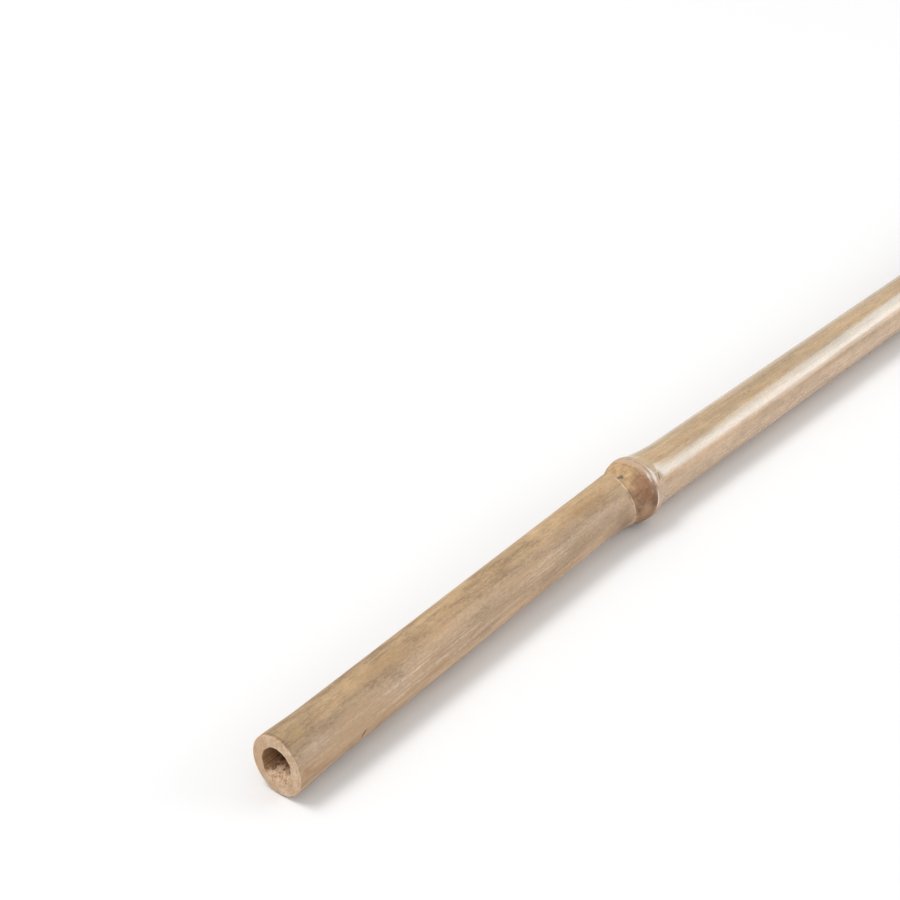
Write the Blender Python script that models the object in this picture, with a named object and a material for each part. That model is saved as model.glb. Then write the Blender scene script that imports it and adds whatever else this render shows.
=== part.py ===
"""A bamboo garden cane lying on its side, modelled as the one culm that it grew as.

Metres, +Z up. The cane runs along +X from its sawn butt to its sawn tip. It bends a little at every node and
rests on the undersides of its first, second and last nodes. The origin is at the bottom centre of its box.
"""

import math

import bmesh
import bpy
from mathutils import Vector

# The whole cane
LENGTH = 1.200
SIDES = 28

# Where the nodes stand along the cane, and the diameter of the stretch before each node and after the last
NODE_PLACES = (0.1794, 0.428, 0.690, 0.945, 1.165)
STRETCH_DIAMETERS = (0.0180, 0.0193, 0.0187, 0.0179, 0.0170, 0.0164)

# The centreline: distance along the cane, sideways offset, and clear height left under the smooth culm
CENTRELINE = (
    (0.000, 0.0000, 0.00030),
    (0.161, 0.0000, 0.00225),
    (0.188, -0.0014, 0.00060),
    (0.428, -0.0123, 0.00130),
    (0.690, -0.0092, 0.00220),
    (0.945, -0.0118, 0.00215),
    (1.165, -0.0082, 0.00117),
    (1.200, -0.0081, 0.00130),
)
BEND_EASE = 0.005

# A node at the scale of the first one: distance from the crest of its ridge, and rise over the smooth culm.
# The thin lip is where the sheath was attached, and the blunt ridge above it is the node proper.
NODE_PROFILE = (
    (-0.0260, 0.00000),
    (-0.0170, 0.00025),
    (-0.0124, 0.00050),
    (-0.0114, 0.00058),
    (-0.0107, 0.00086),
    (-0.0100, 0.00046),
    (-0.0070, 0.00080),
    (-0.0035, 0.00124),
    (-0.0010, 0.00145),
    (0.0014, 0.00142),
    (0.0034, 0.00090),
    (0.0056, 0.00036),
    (0.0095, 0.00009),
    (0.0180, 0.00000),
)
SCAR_LIP = -0.0107
BETWEEN_PROFILE = (-0.0085, -0.0052, 0.0, 0.0022, 0.0043, 0.0072)

# Where the culm changes size at a node, from the crest of its ridge
CHANGE_START = -0.00875
CHANGE_SPAN = 0.0105

# How far, and towards which side, the lip and the ridge lean towards the butt at each node, and how much nearer
# to the butt a node's whole ridge stands
SCAR_LEANS = ((0.0036, 150), (0.0010, 15), (0.0011, 190), (0.0009, 20), (0.0009, 170))
RIDGE_LEANS = ((0.0005, 170), (0.0007, 185), (0.0008, 10), (0.0006, 200), (0.0006, 10))
RIDGE_SHIFTS = (0.0015, 0.0, 0.0, 0.0, 0.0)
LEAN_REACH = 0.020

# The sheath's thick side: how far it swells the band below the ridge, and towards which side
SHEATH_SWELLS = ((0.0009, 238), (0.0004, 60), (0.0003, 230), (0.0004, 100), (0.0003, 40))
SWELL_PLACE = -0.0065
SWELL_REACH = 0.0052
SWELL_HALF_ANGLE = math.radians(30)

# The shoulder above a ridge: how far it swells the culm, and towards which side
SHOULDERS = ((0.0008, 50), (0.0, 0), (0.0, 0), (0.0, 0), (0.0, 0))
SHOULDER_PLACE = 0.005
SHOULDER_REACH = 0.009
SHOULDER_HALF_ANGLE = math.radians(45)

# Branch scars: the trimmed boss above a ridge and the shallow groove that runs up from it
BRANCH_SIDES = (None, 158, 22, 165, 15)
BOSS_RISE = 0.0013
BOSS_PLACE = 0.0036
BOSS_RADIUS = 0.0024
GROOVE_DEPTH = 0.00055
GROOVE_HALF_WIDTH = 0.0028
GROOVE_START = 0.004
GROOVE_DEEPEST = 0.012
GROOVE_LENGTH = 0.150

# Sawn ends and the bores that they open
BORE_RATIO = 0.60
BORE_LIFT = 0.0004
DOME_DEPTH_RATIO = 0.45
DOME_TURNS = (30, 55, 76)
WALL_FROM_RIDGE = 0.009
CUT_EDGE = 0.0002
END_PLACES = (0.004, 0.010, 0.017)
BUTT_CUT_LEAN = (0.010, 0.052)
TIP_CUT_LEAN = (-0.020, 0.030)
CUT_LEAN_REACH = 0.016

# The culm is a little oval, turned further at each node, and most oval at its butt
OVAL = 0.010
OVAL_TURN = -0.50
OVAL_TURN_PER_NODE = -0.45
BUTT_OVAL = 0.045
BUTT_OVAL_TURN = math.radians(50)
BUTT_OVAL_REACH = 0.016

STRETCH_STEP = 0.030


def ease(t):
    """Smooth step from 0 to 1 as t goes from 0 to 1."""
    t = min(max(t, 0.0), 1.0)
    return t * t * (3 - 2 * t)


def ramp(distance):
    """0 before a bend and distance after it, eased over BEND_EASE."""
    t = distance / BEND_EASE
    if t > 30:
        return distance
    return BEND_EASE * math.log1p(math.exp(t))


def bell(distance, width):
    return math.exp(-((distance / width) ** 2))


def turned(angle, side):
    """The turn from a side in degrees to an angle, between half a turn back and half a turn on."""
    return (angle - math.radians(side) + math.pi) % (2 * math.pi) - math.pi


def smooth_radius(along):
    """Radius of the culm without its nodes: nearly even in each stretch, and changing size at the nodes."""
    radius = STRETCH_DIAMETERS[0] / 2
    for place, before, after in zip(NODE_PLACES, STRETCH_DIAMETERS, STRETCH_DIAMETERS[1:]):
        change = ease((along - place - CHANGE_START) / CHANGE_SPAN)
        radius += change * (after - before) / 2
    return radius


def centre(along):
    """Sideways offset and height of the culm's axis, from straight runs eased into each other."""
    heights = [smooth_radius(x) + clear for x, _, clear in CENTRELINE]
    offsets = [y for _, y, _ in CENTRELINE]
    places = [x for x, _, _ in CENTRELINE]
    found = []
    for values in (offsets, heights):
        slopes = [(b - a) / (x1 - x0) for a, b, x0, x1 in zip(values, values[1:], places, places[1:])]
        value = values[0] + slopes[0] * along
        for place, before, after in zip(places[1:], slopes, slopes[1:]):
            value += (after - before) * ramp(along - place)
        found.append(value)
    return found


def node_rise(distance):
    """Rise of a node over the smooth culm, a smooth curve through NODE_PROFILE."""
    points = NODE_PROFILE
    if not points[0][0] < distance < points[-1][0]:
        return 0.0
    i = max(k for k in range(len(points) - 1) if points[k][0] <= distance)
    (x1, y1), (x2, y2) = points[i], points[i + 1]
    x0, y0 = points[max(i - 1, 0)]
    x3, y3 = points[min(i + 2, len(points) - 1)]
    span = x2 - x1
    start = (y2 - y0) / (x2 - x0) * span
    end = (y3 - y1) / (x3 - x1) * span
    t = (distance - x1) / span
    return (
        (2 * t**3 - 3 * t**2 + 1) * y1
        + (t**3 - 2 * t**2 + t) * start
        + (3 * t**2 - 2 * t**3) * y2
        + (t**3 - t**2) * end
    )


def lean(distance, angle, node):
    """How far a node's ring is pushed along the cane at this angle round it."""
    if abs(distance) >= LEAN_REACH + abs(SCAR_LIP):
        return 0.0
    scar, scar_side = SCAR_LEANS[node]
    ridge, ridge_side = RIDGE_LEANS[node]
    share = ease(distance / SCAR_LIP)
    reach = ease((LEAN_REACH + abs(SCAR_LIP) - abs(distance - SCAR_LIP / 2)) / LEAN_REACH)
    scar_push = scar * math.cos(angle - math.radians(scar_side))
    ridge_push = RIDGE_SHIFTS[node] + ridge * math.cos(angle - math.radians(ridge_side))
    return -reach * (share * scar_push + (1 - share) * ridge_push)


def branch_rise(distance, angle, radius, node):
    """The branch boss above a ridge, less the groove that runs on from it."""
    side = BRANCH_SIDES[node]
    if side is None:
        return 0.0
    aside = radius * turned(angle, side)
    boss = BOSS_RISE * bell(distance - BOSS_PLACE, BOSS_RADIUS) * bell(aside, BOSS_RADIUS)
    deepens = ease((distance - GROOVE_START) / (GROOVE_DEEPEST - GROOVE_START))
    fades = 1 - ease((distance - GROOVE_DEEPEST) / (GROOVE_LENGTH - GROOVE_DEEPEST))
    return boss - GROOVE_DEPTH * deepens * fades * bell(aside, GROOVE_HALF_WIDTH)


def sheath_swell(distance, angle, node):
    """The extra rise of a node's band where the sheath was thick."""
    rise, side = SHEATH_SWELLS[node]
    return rise * bell(distance - SWELL_PLACE, SWELL_REACH) * bell(turned(angle, side), SWELL_HALF_ANGLE)


def shoulder(distance, angle, node):
    """The extra rise of the culm just above a ridge, on one side."""
    rise, side = SHOULDERS[node]
    return rise * bell(distance - SHOULDER_PLACE, SHOULDER_REACH) * bell(turned(angle, side), SHOULDER_HALF_ANGLE)


def oval(along, angle, node):
    """How much wider than round the culm is at this angle, as a share of its radius."""
    at_butt = 1 - ease(along / BUTT_OVAL_REACH)
    culm = OVAL * math.cos(2 * (angle - OVAL_TURN - OVAL_TURN_PER_NODE * node))
    butt = BUTT_OVAL * math.cos(2 * (angle - BUTT_OVAL_TURN))
    return at_butt * butt + (1 - at_butt) * culm


def cut_lean(along, angle, radius):
    """How far a sawn end's slant moves a point along the cane."""
    push = 0.0
    for end, (sideways, upwards) in ((0.0, BUTT_CUT_LEAN), (LENGTH, TIP_CUT_LEAN)):
        share = 1 - ease(abs(along - end) / CUT_LEAN_REACH)
        push += share * radius * (sideways * math.cos(angle) + upwards * math.sin(angle))
    return push


def outer_ring(along, inset=0.0):
    """One ring of the culm's outside, where along is its place before nodes and cuts lean it."""
    node = min(range(len(NODE_PLACES)), key=lambda k: abs(along - NODE_PLACES[k]))
    below = max((k for k in range(len(NODE_PLACES)) if NODE_PLACES[k] + SCAR_LIP < along), default=0)
    size = smooth_radius(along)
    y, z = centre(along)
    ring = []
    for k in range(SIDES):
        angle = 2 * math.pi * k / SIDES
        distance = along - NODE_PLACES[node]
        radius = size * (1 + oval(along, angle, node))
        radius += node_rise(distance) * (1 + size / smooth_radius(NODE_PLACES[0])) / 2
        radius += sheath_swell(distance, angle, node) + shoulder(distance, angle, node)
        radius += branch_rise(along - NODE_PLACES[below], angle, radius, below) - inset
        x = along + lean(distance, angle, node) + cut_lean(along, angle, radius)
        ring.append(Vector((x, y + radius * math.cos(angle), z + radius * math.sin(angle))))
    return ring


def bore_ring(along, scale=1.0):
    """One ring of a bore, whose place along the cane is leaned with the nearest cut."""
    y, z = centre(along)
    radius = BORE_RATIO * smooth_radius(along) * scale
    ring = []
    for k in range(SIDES):
        angle = 2 * math.pi * k / SIDES
        x = along + cut_lean(along, angle, radius)
        ring.append(Vector((x, y + radius * math.cos(angle), z + BORE_LIFT + radius * math.sin(angle))))
    return ring


def outer_places():
    """Where the outer rings lie: close together over each node and at the ends, and far apart between them."""
    places = {CUT_EDGE, LENGTH - CUT_EDGE}
    for place in NODE_PLACES:
        places.update(place + distance for distance, _ in NODE_PROFILE)
        places.update(place + distance for distance in BETWEEN_PROFILE)
    places.update(END_PLACES)
    places.update(LENGTH - distance for distance in END_PLACES)
    edges = [CUT_EDGE, *NODE_PLACES, LENGTH - CUT_EDGE]
    for start, end in zip(edges, edges[1:]):
        count = max(1, round((end - start) / STRETCH_STEP))
        for k in range(1, count):
            place = start + (end - start) * k / count
            if min(abs(place - other) for other in places) > STRETCH_STEP / 4:
                places.add(place)
    return sorted(place for place in places if CUT_EDGE <= place <= LENGTH - CUT_EDGE)


def bore_rings(mouth, bottom, steps):
    """Rings from a bore's mouth to its bottom, which closes in a shallow dome at the node's inner wall."""
    inward = 1 if bottom > mouth else -1
    dome = BORE_RATIO * smooth_radius(bottom) * DOME_DEPTH_RATIO
    shaft_end = bottom - inward * dome
    rings = [bore_ring(mouth + (shaft_end - mouth) * k / steps) for k in range(steps + 1)]
    for turn in DOME_TURNS:
        drop, scale = math.sin(math.radians(turn)), math.cos(math.radians(turn))
        rings.append(bore_ring(shaft_end + inward * dome * drop, scale))
    return rings


def cane_rings():
    """Every ring of the closed surface: out of the butt bore, along the outside and into the tip bore."""
    butt = bore_rings(0.0, NODE_PLACES[0] - WALL_FROM_RIDGE, 8)
    tip = bore_rings(LENGTH, NODE_PLACES[-1] + WALL_FROM_RIDGE, 3)
    outside = [outer_ring(0.0, CUT_EDGE)]
    outside += [outer_ring(place) for place in outer_places()]
    outside += [outer_ring(LENGTH, CUT_EDGE)]
    return butt[::-1] + outside + tip


def close_end(mesh, ring, corners):
    """Closes a bore's last ring with a fan of triangles to its middle."""
    middle = mesh.verts.new(sum(ring, Vector()) / len(ring))
    for k in range(SIDES):
        mesh.faces.new((corners[k], corners[(k + 1) % SIDES], middle))


def resting_flats(mesh):
    """Cuts away what reaches below the floor, which leaves a small flat under each resting node."""
    everything = mesh.verts[:] + mesh.edges[:] + mesh.faces[:]
    bmesh.ops.bisect_plane(
        mesh, geom=everything, plane_co=(0, 0, 0), plane_no=(0, 0, -1), clear_outer=True
    )
    bmesh.ops.holes_fill(mesh, edges=[edge for edge in mesh.edges if edge.is_boundary], sides=0)


def cane_mesh():
    rings = cane_rings()
    mesh = bmesh.new()
    corners = [[mesh.verts.new(point) for point in ring] for ring in rings]
    for first, second in zip(corners, corners[1:]):
        for k in range(SIDES):
            after = (k + 1) % SIDES
            mesh.faces.new((first[k], first[after], second[after], second[k]))
    close_end(mesh, rings[0], corners[0])
    close_end(mesh, rings[-1], corners[-1])
    bmesh.ops.triangulate(mesh, faces=mesh.faces[:])
    resting_flats(mesh)
    bmesh.ops.triangulate(mesh, faces=mesh.faces[:])
    bmesh.ops.recalc_face_normals(mesh, faces=mesh.faces[:])
    lowest = Vector(min(vert.co[axis] for vert in mesh.verts) for axis in range(3))
    highest = Vector(max(vert.co[axis] for vert in mesh.verts) for axis in range(3))
    middle = (lowest + highest) / 2
    bmesh.ops.translate(mesh, verts=mesh.verts[:], vec=(-middle.x, -middle.y, 0))
    data = bpy.data.meshes.new("cane")
    mesh.to_mesh(data)
    mesh.free()
    return data


def bamboo():
    """Dry bamboo, tan with a slight wax gloss."""
    material = bpy.data.materials.new("bamboo")
    material.use_nodes = True
    shader = material.node_tree.nodes["Principled BSDF"]
    shader.inputs["Base Color"].default_value = (0.50, 0.34, 0.19, 1)
    shader.inputs["Roughness"].default_value = 0.45
    shader.inputs["Metallic"].default_value = 0.0
    return material


def clear_scene():
    for thing in list(bpy.data.objects):
        bpy.data.objects.remove(thing, do_unlink=True)


def build():
    clear_scene()
    cane = bpy.data.objects.new("cane", cane_mesh())
    cane.data.materials.append(bamboo())
    cane.data.shade_smooth()
    cane.data.set_sharp_from_angle(angle=math.radians(40))
    bpy.context.scene.collection.objects.link(cane)


build()
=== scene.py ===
"""Looks for the bamboo cane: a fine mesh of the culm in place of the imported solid.

It also makes the culm's materials and the map they are baked onto, the floor, the lights and the camera.
Metres, +Z up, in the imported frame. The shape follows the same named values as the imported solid, and adds
what is too fine for it: fibres, the torn lip of the sheath scar, the split near the butt and the crumbling
pith in the bores.
"""

import math

import bpy
import numpy as np
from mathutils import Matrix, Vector


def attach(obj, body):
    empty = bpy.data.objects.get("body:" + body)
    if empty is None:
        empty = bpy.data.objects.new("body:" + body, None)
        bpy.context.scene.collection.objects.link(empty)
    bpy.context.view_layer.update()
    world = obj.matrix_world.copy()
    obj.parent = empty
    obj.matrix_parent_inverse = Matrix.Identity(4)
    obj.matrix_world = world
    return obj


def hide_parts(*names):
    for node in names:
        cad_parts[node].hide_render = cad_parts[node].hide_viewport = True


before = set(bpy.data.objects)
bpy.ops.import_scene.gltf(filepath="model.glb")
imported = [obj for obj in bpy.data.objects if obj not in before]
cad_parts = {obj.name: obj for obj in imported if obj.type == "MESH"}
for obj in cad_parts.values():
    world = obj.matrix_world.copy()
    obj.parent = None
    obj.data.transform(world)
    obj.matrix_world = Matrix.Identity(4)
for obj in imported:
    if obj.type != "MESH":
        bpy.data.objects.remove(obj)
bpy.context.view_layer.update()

# The shape, in metres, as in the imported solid

LENGTH = 1.200
NODE_PLACES = np.array((0.1794, 0.428, 0.690, 0.945, 1.165))
STRETCH_DIAMETERS = (0.0180, 0.0193, 0.0187, 0.0179, 0.0170, 0.0164)
CENTRELINE = (
    (0.000, 0.0000, 0.00030),
    (0.161, 0.0000, 0.00225),
    (0.188, -0.0014, 0.00060),
    (0.428, -0.0123, 0.00130),
    (0.690, -0.0092, 0.00220),
    (0.945, -0.0118, 0.00215),
    (1.165, -0.0082, 0.00117),
    (1.200, -0.0081, 0.00130),
)
BEND_EASE = 0.005
NODE_PROFILE = (
    (-0.0260, 0.00000),
    (-0.0170, 0.00025),
    (-0.0124, 0.00050),
    (-0.0114, 0.00058),
    (-0.0107, 0.00086),
    (-0.0100, 0.00046),
    (-0.0070, 0.00080),
    (-0.0035, 0.00124),
    (-0.0010, 0.00145),
    (0.0014, 0.00142),
    (0.0034, 0.00090),
    (0.0056, 0.00036),
    (0.0095, 0.00009),
    (0.0180, 0.00000),
)
SCAR_LIP = -0.0107
CHANGE_START = -0.00875
CHANGE_SPAN = 0.0105
SCAR_LEANS = np.array(((0.0036, 150), (0.0010, 15), (0.0011, 190), (0.0009, 20), (0.0009, 170)))
RIDGE_LEANS = np.array(((0.0005, 170), (0.0007, 185), (0.0008, 10), (0.0006, 200), (0.0006, 10)))
RIDGE_SHIFTS = np.array((0.0015, 0.0, 0.0, 0.0, 0.0))
LEAN_REACH = 0.020
SHEATH_SWELLS = np.array(((0.0009, 238), (0.0004, 60), (0.0003, 230), (0.0004, 100), (0.0003, 40)))
SWELL_PLACE = -0.0065
SWELL_REACH = 0.0052
SWELL_HALF_ANGLE = math.radians(30)
SHOULDERS = np.array(((0.0008, 50), (0.0, 0), (0.0, 0), (0.0, 0), (0.0, 0)))
SHOULDER_PLACE = 0.005
SHOULDER_REACH = 0.009
SHOULDER_HALF_ANGLE = math.radians(45)
BRANCH_SIDES = np.array((math.nan, 158, 22, 165, 15))
BOSS_RISE = 0.0013
BOSS_PLACE = 0.0036
BOSS_RADIUS = 0.0024
GROOVE_DEPTH = 0.00055
GROOVE_HALF_WIDTH = 0.0028
GROOVE_START = 0.004
GROOVE_DEEPEST = 0.012
GROOVE_LENGTH = 0.150
BORE_RATIO = 0.60
BORE_LIFT = 0.0004
DOME_DEPTH_RATIO = 0.45
WALL_FROM_RIDGE = 0.009
CUT_EDGE = 0.0002
BUTT_CUT_LEAN = (0.010, 0.052)
TIP_CUT_LEAN = (-0.020, 0.030)
CUT_LEAN_REACH = 0.016
OVAL = 0.010
OVAL_TURN = -0.50
OVAL_TURN_PER_NODE = -0.45
BUTT_OVAL = 0.045
BUTT_OVAL_TURN = math.radians(50)
BUTT_OVAL_REACH = 0.016

# From the culm's own start, at its butt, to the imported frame's origin
FRAME_SHIFT = (-0.5999032, 0.0063291, 0.0)

# The split near the butt: mm along the culm, degrees round it, and its slant
NICK = (26.3, 192.0)
NICK_SLANT = math.radians(-48)

# The middle of the butt bore's mouth in mm, and the side in degrees where the sawn face is shredded
BORE_MIDDLE = (6.33, 9.7)
BURST_SIDE = 255

# The loose pith that lies in the butt's bore: the side it lies on, in degrees, and how thick it is
PITH_SIDE = 262
PITH_LAYER = 0.0021

# Where the butt bore's mouth has crumbled away: the side in degrees, how wide, how far and how deep
WORN_SIDE = 288
WORN_HALF_ANGLE = math.radians(30)
WORN_AWAY = 0.0008
WORN_DEPTH = 0.006

# Fine relief of the skin: heights in mm, and places and widths along the culm in metres.
# The solid's plain lip is lowered by LIP_WORN_MM, so that the torn one stands in its place.
UNEVEN_MM = 0.045
FIBRE_MM = 0.018
LIP_MM, LIP_TORN_MM, LIP_WIDTH = 0.26, 0.07, 0.00026
LIP_WORN_MM, LIP_WORN_WIDTH = 0.27, 0.0009
GAP_MM, GAP_TORN_MM, GAP_PLACE, GAP_WIDTH = 0.13, 0.06, 0.00070, 0.00028
BAND_START = 0.0100
BAND_RINGS_MM, BAND_LUMPS_MM = 0.03, 0.04
CREST_MM, CREST_PLACE, CREST_WIDTH = 0.05, 0.0003, 0.00045

# The split's sizes, and the heights of its lifted edge and of the strip before it, in mm
NICK_HALF_WIDTH_MM = 0.36
NICK_HALF_LENGTH_MM = 1.6
NICK_DEPTH_MM = 0.5
NICK_LIFT_MM = 0.16
PEEL_MM = 0.10

# Unevenness of the bores' walls and of the sawn faces, in mm, and the radius of the crumbs' layer, in metres
RAGGED_MM, FLUTE_MM = 0.16, 0.06
SAW_GRAIN_MM, SAW_WAVES_MM = 0.035, 0.06
CRUMB_RADIUS = 0.0054

# The stage, in metres. The camera's place is measured from the culm's butt, its turn in degrees round and up
FLOOR_HALF_SIZE = 40.0
FLOOR_CLEARANCE = 0.00005
FLOOR_COLOUR = (0.872, 0.880, 0.890)
SKY_STRENGTH = 0.70
SKY_COLOUR = (1.0, 0.990, 0.983)
SENSOR_MM = 36.0
LENS_MM = 66.4048
CAMERA_PLACE = (-0.2432854, -0.2480173, 0.3121069)
CAMERA_TURN = (-52.23176, 30.54453)

# The soft boxes: direction from their aim, distance, size, power and colour
LIGHT_AIM = (-0.34, 0.0, 0.01)
LIGHTS = {
    "key": ((-0.25, 0.38, 0.90), 2.4, (1.2, 0.80), 27, (1.0, 0.99, 0.975)),
    "fill": ((0.62, -0.70, 0.34), 2.6, (1.8, 1.0), 18, (1.0, 0.985, 0.97)),
    "gloss": ((0.78, -0.475, 0.467), 2.6, (2.4, 1.03), 41, (0.62, 0.86, 1.0)),
}

# Fineness of the mesh: steps between its rings and how far they reach, in metres, and angles in degrees
SIDES = 120
START_FINE_UNTIL, START_STEP = 0.0345, 0.0006
FIRST_NODE_STEP, NODE_STEP = 0.0003, 0.00045
NODE_FINE = (-0.013, 0.007)
NODE_REACH = (-0.028, 0.026)
BEFORE_NODE_STEP, AFTER_NODE_STEP = 0.0013, 0.0014
PLAIN_STEP = 0.006
TIP_REACH, TIP_STEP = 0.012, 0.0010
BUTT_BORE_STEP, BUTT_BORE_FINE = 0.00037, 0.028
TIP_BORE_STEP, TIP_BORE_FINE = 0.0005, 0.018
PLAIN_BORE_STEP = 0.008
DOME_TURNS = (22, 42, 60, 76)
FACE_RINGS = (9, 7)
SHARP_FROM_DEGREES = 48

MM = 0.001
SKIN, CUT, BORE = 0, 1, 2
SKIN_RADIUS_MM = 9.0

# The map that the materials are baked onto, in mm of surface: rows of unrolled skin, then the rest
MAP_ROWS = 4
MAP_ROW_MM = 302.0
MAP_EDGE_MM = 7.0
MAP_GAP_MM = 2.0
SKIN_ROUND_MM = 57.0
BORE_ROUND_MM = 34.0
MAP_TIP_BORE_AT = 192.0
MAP_FACES_AT = (254.0, 277.0)
MAP_FACE_DOWN = 14.0
MAP_POLE_MM = 1.2
TIP_BORE_GROUP = 4

# The skin's roughness, how far a pattern shifts from one stretch to the next, and where the upper nodes begin
MATTE = 0.66
WAXY = 0.22
SHIFT_PER_STRETCH = 17.3
UPPER_NODES_FROM_MM = 200.0

# Marks on the skin: places in mm along the culm and degrees round it, and half sizes in mm
PALE_PATCHES = ((9.3, 146, 9, 4), (42.3, 160, 13, 3.2), (90.3, 180, 22, 3.0), (150, 150, 14, 4))

# Cracks round a ridge: place and half width. A branch's scar: shift, half sizes and colour
RIDGE_CRACKS = ((-2.9, 0.24), (0.2, 0.26), (1.9, 0.22))
BRANCH_SCAR = (
    (0.0, 2.7, 2.3, (186, 158, 128)),
    (-0.2, 1.7, 1.5, (126, 110, 94)),
    (-0.1, 0.7, 0.6, (74, 58, 46)),
)

# This cane's own marks: place, angle, half length, half width, slant, softness, raggedness, share and colour
MARKS = (
    # Dark spots beside the lip, small chips on the ridge, and thin dark lines at the lip
    (170.9, 97, 1.0, 1.2, 30, 0.6, 0.8, 0.9, (98, 90, 82)),
    (170.0, 94, 0.6, 0.9, 0, 0.6, 0.6, 0.7, (76, 62, 50)),
    (177.0, 156, 0.7, 1.2, 0, 0.8, 0.8, 0.55, (156, 148, 128)),
    (182.9, 140, 0.50, 1.5, 35, 0.6, 0.6, 0.85, (112, 98, 88)),
    # Painted shadow: a thin dark line just behind the lip
    (169.3, 131, 0.28, 1.5, -8, 0.6, 0.6, 0.85, (84, 62, 48)),
    (168.8, 146, 0.24, 2.6, -4, 0.6, 0.4, 0.55, (122, 92, 72)),
    # A painted highlight on the ridge, a pale line along its crest, and a stain
    # Painted highlight: a pale glint on the ridge
    (178.4, 127, 0.70, 2.4, 10, 0.95, 1.3, 0.6, (236, 226, 214)),
    (179.0, 178, 0.42, 4.2, 4, 0.6, 0.5, 0.85, (236, 212, 190)),
    (175.6, 160, 2.0, 1.6, 0, 0.9, 1.8, 0.35, (164, 108, 64)),
    # Painted shade just before the lip, mostly on its lower side
    (158.0, 197, 17.0, 5.2, 0, 0.9, 1.0, 0.65, (156, 127, 102)),
    (161.5, 168, 7.5, 3.4, 0, 0.9, 1.0, 0.55, (144, 114, 91)),
    (163.5, 196, 6.0, 3.6, 0, 0.9, 0.7, 0.62, (118, 92, 74)),
    (151.0, 152, 11.0, 3.6, 0, 0.9, 1.2, 0.45, (160, 128, 100)),
    # The band's browns
    (169.6, 142, 3.6, 2.6, 0, 0.9, 0.8, 0.55, (118, 80, 56)),
    (174.0, 184, 3.2, 3.4, 0, 0.9, 0.8, 0.60, (184, 149, 121)),
    (167.6, 174, 1.8, 2.0, 0, 0.9, 1.0, 0.40, (172, 140, 114)),
    (173.0, 122, 2.6, 2.2, 0, 0.9, 1.4, 0.45, (140, 104, 78)),
    (172.8, 138, 2.2, 1.2, 0, 0.9, 1.4, 0.40, (150, 96, 66)),
    # Specks before the lip
    (143.6, 118, 1.6, 0.35, 8, 0.6, 0.4, 0.6, (130, 112, 98)),
    (163.0, 126, 1.8, 0.9, 0, 0.8, 1.2, 0.5, (138, 124, 112)),
    (152.0, 150, 0.6, 0.5, 0, 0.6, 0.8, 0.5, (116, 96, 82)),
    # Orange streaks above the ridge
    (190.3, 106, 4.0, 0.40, 4, 0.8, 0.8, 0.7, (172, 112, 58)),
    (205.0, 111, 2.8, 0.35, 0, 0.8, 0.8, 0.7, (168, 108, 56)),
    (214.0, 96, 3.0, 0.5, 0, 0.8, 0.9, 0.5, (176, 122, 70)),
    # Stains by the sawn butt
    (2.2, 140, 0.8, 0.7, 0, 0.8, 0.8, 0.5, (126, 104, 92)),
    (3.2, 172, 3.4, 2.0, 0, 0.9, 2.0, 0.75, (156, 112, 72)),
    (8.5, 184, 5.0, 1.6, 0, 0.9, 2.0, 0.55, (164, 124, 86)),
    (5.5, 106, 4.5, 1.8, 0, 0.9, 2.0, 0.60, (166, 138, 92)),
    # Broad tints of the butt stretch
    (44.0, 100, 20.0, 3.4, 0, 0.9, 1.2, 0.50, (160, 126, 86)),
    (148.0, 104, 18.0, 3.2, 0, 0.9, 1.2, 0.50, (162, 126, 84)),
    (60.0, 176, 12.0, 1.6, 0, 0.9, 1.2, 0.35, (166, 124, 86)),
    (24.0, 176, 34.0, 7.5, 0, 0.9, 0.8, 0.40, (178, 144, 108)),
)


def ease(t):
    t = np.clip(t, 0.0, 1.0)
    return t * t * (3 - 2 * t)


def bell(distance, width):
    return np.exp(-((distance / width) ** 2))


def turned(angle, side):
    return (angle - np.radians(side) + math.pi) % (2 * math.pi) - math.pi


def smooth_radius(along):
    """The stretches' radius, which changes at each node."""
    radius = STRETCH_DIAMETERS[0] / 2
    for place, before, after in zip(NODE_PLACES, STRETCH_DIAMETERS, STRETCH_DIAMETERS[1:]):
        radius = radius + ease((along - place - CHANGE_START) / CHANGE_SPAN) * (after - before) / 2
    return radius


def centre(along):
    """The centreline's place across and its height: straight runs with rounded bends between them."""
    places = [x for x, _, _ in CENTRELINE]
    offsets = [y for _, y, _ in CENTRELINE]
    heights = [float(smooth_radius(x)) + clear for x, _, clear in CENTRELINE]
    found = []
    for values in (offsets, heights):
        slopes = [(b - a) / (x1 - x0) for a, b, x0, x1 in zip(values, values[1:], places, places[1:])]
        value = values[0] + slopes[0] * along
        for place, before, after in zip(places[1:], slopes, slopes[1:]):
            value = value + (after - before) * BEND_EASE * np.logaddexp(0, (along - place) / BEND_EASE)
        found.append(value)
    return found


def node_rise(distance):
    """The node's profile: a smooth curve through its points."""
    points = NODE_PROFILE
    rise = np.zeros_like(distance)
    for i in range(len(points) - 1):
        (x1, y1), (x2, y2) = points[i], points[i + 1]
        x0, y0 = points[max(i - 1, 0)]
        x3, y3 = points[min(i + 2, len(points) - 1)]
        span = x2 - x1
        start = (y2 - y0) / (x2 - x0) * span
        end = (y3 - y1) / (x3 - x1) * span
        t = (distance - x1) / span
        piece = (2 * t**3 - 3 * t**2 + 1) * y1 + (t**3 - 2 * t**2 + t) * start
        piece = piece + (3 * t**2 - 2 * t**3) * y2 + (t**3 - t**2) * end
        rise = np.where((distance >= x1) & (distance < x2), piece, rise)
    return rise


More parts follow.
